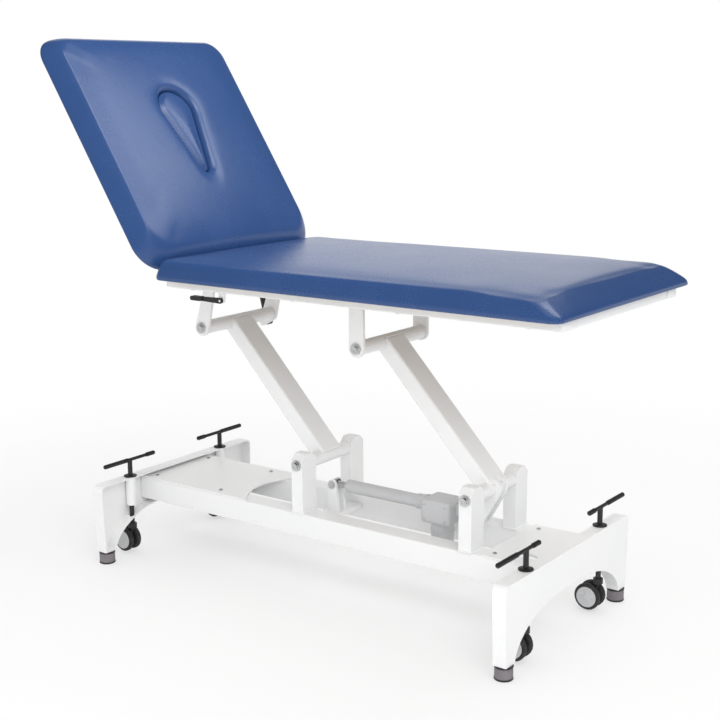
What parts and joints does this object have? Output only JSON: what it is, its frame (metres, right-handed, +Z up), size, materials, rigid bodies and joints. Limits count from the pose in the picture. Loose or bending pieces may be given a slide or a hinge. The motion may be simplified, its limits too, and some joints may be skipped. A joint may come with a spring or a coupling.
{
  "type": "electric treatment couch",
  "caption": "Two-section padded treatment couch on a parallelogram electric lift, with a tilting backrest, breathing hole with plug, rubber feet and pedal-lowered castors.",
  "frame": {"origin": "on the floor under the middle of the couch's bounding box at rest", "axes": "+X from the head end to the foot end, +Y to the left of a person lying on it, +Z up"},
  "size_m": [1.6124, 0.71, 1.4919],
  "materials": {
    "blue_vinyl": "satin",
    "white_powder_coat": "satin",
    "base_board": "matte",
    "grey_rubber": "matte",
    "black_plastic": "satin",
    "castor_tyre": "satin",
    "bright_steel": "satin",
    "actuator_casing": "satin"
  },
  "bodies": {
    "base": {"chassis_rail_left": "white_powder_coat", "chassis_rail_right": "white_powder_coat", "head_deck": "white_powder_coat", "foot_deck": "white_powder_coat", "lift_post_head_left": "white_powder_coat", "lift_post_head_right": "white_powder_coat", "lift_post_foot_left": "white_powder_coat", "lift_post_foot_right": "white_powder_coat", "lift_shaft_head": "bright_steel", "lift_shaft_foot": "bright_steel", "end_panel_head": "white_powder_coat", "end_panel_foot": "white_powder_coat", "rubber_foot_head_right": "grey_rubber", "rubber_foot_head_left": "grey_rubber", "rubber_foot_foot_right": "grey_rubber", "rubber_foot_foot_left": "grey_rubber", "castor_bush_head_right": "black_plastic", "castor_bush_head_left": "black_plastic", "castor_bush_foot_right": "black_plastic", "castor_bush_foot_left": "black_plastic", "actuator_mount": "white_powder_coat", "actuator_base_pin": "bright_steel", "actuator_rod": "bright_steel", "control_box": "black_plastic"},
    "lift_arm_foot": {"lift_arm_foot": "white_powder_coat"},
    "lift_arm_head": {"lift_arm_head": "white_powder_coat"},
    "actuator": {"actuator_housing": "actuator_casing", "actuator_tube": "actuator_casing", "actuator_pin": "bright_steel"},
    "top_frame": {"top_rail_left": "white_powder_coat", "top_rail_right": "white_powder_coat", "top_cross_head": "white_powder_coat", "top_cross_middle": "white_powder_coat", "top_cross_foot": "white_powder_coat", "top_shaft_head": "bright_steel", "top_shaft_middle": "bright_steel", "backrest_pin_left": "bright_steel", "backrest_pin_right": "bright_steel", "seat_board": "base_board", "seat_cushion": "blue_vinyl"},
    "backrest": {"backrest_tube_left": "white_powder_coat", "backrest_tube_right": "white_powder_coat", "backrest_board": "base_board", "backrest_cushion": "blue_vinyl"},
    "breathing_hole_plug": {"breathing_hole_plug": "blue_vinyl"},
    "gas_spring_cylinder": {"gas_spring_cylinder": "black_plastic"},
    "gas_spring_rod": {"gas_spring_rod": "bright_steel"},
    "release_lever": {"release_lever": "black_plastic"},
    "castor_pedal_head_right": {"castor_pedal_head_right": "black_plastic"},
    "castor_fork_head_right": {"castor_fork_head_right": "black_plastic"},
    "castor_wheels_head_right": {"castor_wheels_head_right": "castor_tyre"},
    "castor_pedal_head_left": {"castor_pedal_head_left": "black_plastic"},
    "castor_fork_head_left": {"castor_fork_head_left": "black_plastic"},
    "castor_wheels_head_left": {"castor_wheels_head_left": "castor_tyre"},
    "castor_pedal_foot_right": {"castor_pedal_foot_right": "black_plastic"},
    "castor_fork_foot_right": {"castor_fork_foot_right": "black_plastic"},
    "castor_wheels_foot_right": {"castor_wheels_foot_right": "castor_tyre"},
    "castor_pedal_foot_left": {"castor_pedal_foot_left": "black_plastic"},
    "castor_fork_foot_left": {"castor_fork_foot_left": "black_plastic"},
    "castor_wheels_foot_left": {"castor_wheels_foot_left": "castor_tyre"}
  },
  "joints": [
    {"name": "lift", "type": "hinge", "parent": "base", "child": "lift_arm_foot", "pos_m": [0.45116, 0, 0.355], "axis": [0, 1, 0], "range_deg": [-52, 5]},
    {"name": "top_frame_level", "type": "hinge", "parent": "lift_arm_foot", "child": "top_frame", "pos_m": [0.12721, 0, 0.70239], "axis": [0, 1, 0], "range_deg": [-5, 52]},
    {"name": "lift_head_arm", "type": "hinge", "parent": "base", "child": "lift_arm_head", "pos_m": [-0.08384, 0, 0.355], "axis": [0, 1, 0], "range_deg": [-52, 5]},
    {"name": "actuator_stroke", "type": "slide", "parent": "base", "child": "actuator", "axis": [1, 0, 0], "range_m": [-0.0075, 0.0776]},
    {"name": "backrest_tilt", "type": "hinge", "parent": "top_frame", "child": "backrest", "pos_m": [-0.40329, 0, 0.86899], "axis": [0, 1, 0], "range_deg": [-57.2, 7.8]},
    {"name": "gas_spring_cylinder_swing", "type": "hinge", "parent": "top_frame", "child": "gas_spring_cylinder", "pos_m": [-0.43802, 0.171, 0.67203], "axis": [0, 1, 0], "range_deg": [-28.6, 3.9]},
    {"name": "gas_spring_rod_swing", "type": "hinge", "parent": "backrest", "child": "gas_spring_rod", "pos_m": [-0.52861, 0.171, 1.02486], "axis": [0, 1, 0], "range_deg": [-3.9, 28.6]},
    {"name": "plug_lift_out", "type": "slide", "parent": "backrest", "child": "breathing_hole_plug", "axis": [0.8406, 0, 0.5417], "range_m": [0, 0.075]},
    {"name": "release_lever_pull", "type": "hinge", "parent": "top_frame", "child": "release_lever", "pos_m": [-0.20979, -0.288, 0.81499], "axis": [0, 1, 0], "range_deg": [0, 9], "stiffness_Nm_per_rad": 1.5, "springref_deg": -8.59},
    {"name": "castor_pedal_head_right_press", "type": "slide", "parent": "base", "child": "castor_pedal_head_right", "axis": [0, 0, -1], "range_m": [0, 0.02], "stiffness_N_per_m": 600, "springref_m": -0.03},
    {"name": "castor_head_right_swivel", "type": "hinge", "parent": "castor_pedal_head_right", "child": "castor_fork_head_right", "pos_m": [-0.67284, -0.195, 0.042], "axis": [0, 0, 1], "continuous": true},
    {"name": "castor_head_right_roll", "type": "hinge", "parent": "castor_fork_head_right", "child": "castor_wheels_head_right", "pos_m": [-0.69484, -0.195, 0.042], "axis": [0, 1, 0], "continuous": true},
    {"name": "castor_pedal_head_left_press", "type": "slide", "parent": "base", "child": "castor_pedal_head_left", "axis": [0, 0, -1], "range_m": [0, 0.02], "stiffness_N_per_m": 600, "springref_m": -0.03},
    {"name": "castor_head_left_swivel", "type": "hinge", "parent": "castor_pedal_head_left", "child": "castor_fork_head_left", "pos_m": [-0.67284, 0.195, 0.042], "axis": [0, 0, 1], "continuous": true},
    {"name": "castor_head_left_roll", "type": "hinge", "parent": "castor_fork_head_left", "child": "castor_wheels_head_left", "pos_m": [-0.69484, 0.195, 0.042], "axis": [0, 1, 0], "continuous": true},
    {"name": "castor_pedal_foot_right_press", "type": "slide", "parent": "base", "child": "castor_pedal_foot_right", "axis": [0, 0, -1], "range_m": [0, 0.02], "stiffness_N_per_m": 600, "springref_m": -0.03},
    {"name": "castor_foot_right_swivel", "type": "hinge", "parent": "castor_pedal_foot_right", "child": "castor_fork_foot_right", "pos_m": [0.65516, -0.195, 0.042], "axis": [0, 0, 1], "continuous": true},
    {"name": "castor_foot_right_roll", "type": "hinge", "parent": "castor_fork_foot_right", "child": "castor_wheels_foot_right", "pos_m": [0.63316, -0.195, 0.042], "axis": [0, 1, 0], "continuous": true},
    {"name": "castor_pedal_foot_left_press", "type": "slide", "parent": "base", "child": "castor_pedal_foot_left", "axis": [0, 0, -1], "range_m": [0, 0.02], "stiffness_N_per_m": 600, "springref_m": -0.03},
    {"name": "castor_foot_left_swivel", "type": "hinge", "parent": "castor_pedal_foot_left", "child": "castor_fork_foot_left", "pos_m": [0.65516, 0.195, 0.042], "axis": [0, 0, 1], "continuous": true},
    {"name": "castor_foot_left_roll", "type": "hinge", "parent": "castor_fork_foot_left", "child": "castor_wheels_foot_left", "pos_m": [0.63316, 0.195, 0.042], "axis": [0, 1, 0], "continuous": true}
  ],
  "couplings": [
    {"joint": "top_frame_level", "follows": "lift", "ratio": -1},
    {"joint": "lift_head_arm", "follows": "lift", "ratio": 1},
    {"joint": "actuator_stroke", "follows": "lift", "m_per_rad": -0.08544},
    {"joint": "gas_spring_cylinder_swing", "follows": "backrest_tilt", "ratio": 0.5},
    {"joint": "gas_spring_rod_swing", "follows": "backrest_tilt", "ratio": -0.5}
  ]
}
